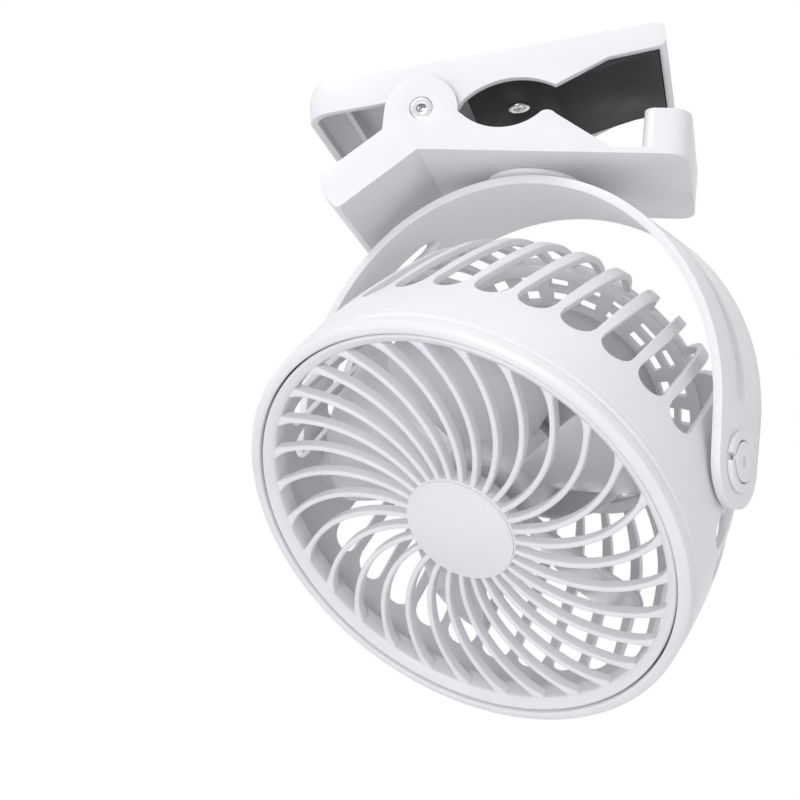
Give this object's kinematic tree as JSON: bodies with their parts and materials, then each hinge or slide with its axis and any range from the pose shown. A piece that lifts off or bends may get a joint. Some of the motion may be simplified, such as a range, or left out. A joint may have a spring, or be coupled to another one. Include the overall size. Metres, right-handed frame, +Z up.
{
  "type": "clip-on camping fan",
  "caption": "Small battery fan whose round caged head tilts in a slotted yoke that swivels under a spring clip; the clip grips a board or pole.",
  "frame": {"origin": "middle of the flat gripping face of the lower jaw, where the fan is held", "axes": "+Z up out of the gripping face, +X along the clip towards the jaw tips, head hanging in -Z"},
  "size_m": [0.1487, 0.1414, 0.2056],
  "materials": {
    "shell_plastic": "white moulded plastic with a soft sheen",
    "clip_plastic": "white moulded plastic with a soft sheen",
    "impeller_plastic": "pale grey translucent-looking plastic, semi-gloss",
    "pod_plastic": "pale grey moulded plastic, semi-gloss",
    "pad_rubber": "matt dark rubber",
    "plated_steel": "bright nickel plating",
    "spring_steel": "drawn wire",
    "motor_steel": "zinc-plated can",
    "bearing_bronze": "sintered bronze",
    "washer_nylon": "grey nylon",
    "cell_wrap": "shrink wrap",
    "board_laminate": "solder mask",
    "switch_black": "moulded",
    "light_lens": "frosted light pipe"
  },
  "bodies": {
    "clip_base": {"clip_base_shell": "clip_plastic", "lower_jaw_pad": "pad_rubber", "hinge_pin": "plated_steel", "clip_spring": "spring_steel", "swivel_collar": "clip_plastic"},
    "clip_lever": {"clip_lever_shell": "clip_plastic", "upper_jaw_pad": "pad_rubber", "pad_screw": "plated_steel"},
    "yoke": {"yoke_band": "shell_plastic", "pivot_ring_right": "shell_plastic", "pivot_ring_left": "shell_plastic", "swivel_washer": "motor_steel", "swivel_screw": "plated_steel"},
    "head": {"housing": "shell_plastic", "front_grille": "shell_plastic", "grille_cap": "shell_plastic", "motor_pod": "pod_plastic", "motor_can": "motor_steel", "motor_bearing": "bearing_bronze", "rear_cover": "shell_plastic", "battery_cell": "cell_wrap", "circuit_board": "board_laminate", "tact_switch": "switch_black", "usb_socket": "plated_steel", "charge_light": "light_lens", "cover_screws": "plated_steel", "pivot_screws": "shell_plastic", "friction_washers": "washer_nylon"},
    "rotor": {"impeller": "impeller_plastic", "impeller_nut": "impeller_plastic", "motor_shaft": "spring_steel"},
    "button": {"power_button": "shell_plastic"}
  },
  "joints": [
    {"name": "clip_hinge", "type": "hinge", "parent": "clip_base", "child": "clip_lever", "pos_m": [-0.0734, 0, -0.0013], "axis": [0, -1, 0], "range_deg": [-15.5, 12], "stiffness_Nm_per_rad": 0.9},
    {"name": "yoke_swivel", "type": "hinge", "parent": "clip_base", "child": "yoke", "pos_m": [-0.041, 0, -0.1029], "axis": [0, 0, 1], "continuous": true},
    {"name": "head_tilt", "type": "hinge", "parent": "yoke", "child": "head", "pos_m": [-0.041, 0, -0.1029], "axis": [0.9285, -0.3714, 0], "range_deg": [-60, 75]},
    {"name": "impeller_spin", "type": "hinge", "parent": "head", "child": "rotor", "pos_m": [-0.041, 0, -0.1029], "axis": [-0.2631, -0.6577, -0.7059], "continuous": true},
    {"name": "button_press", "type": "slide", "parent": "head", "child": "button", "axis": [-0.2631, -0.6577, -0.7059], "range_m": [0, 0.001], "stiffness_N_per_m": 600}
  ]
}
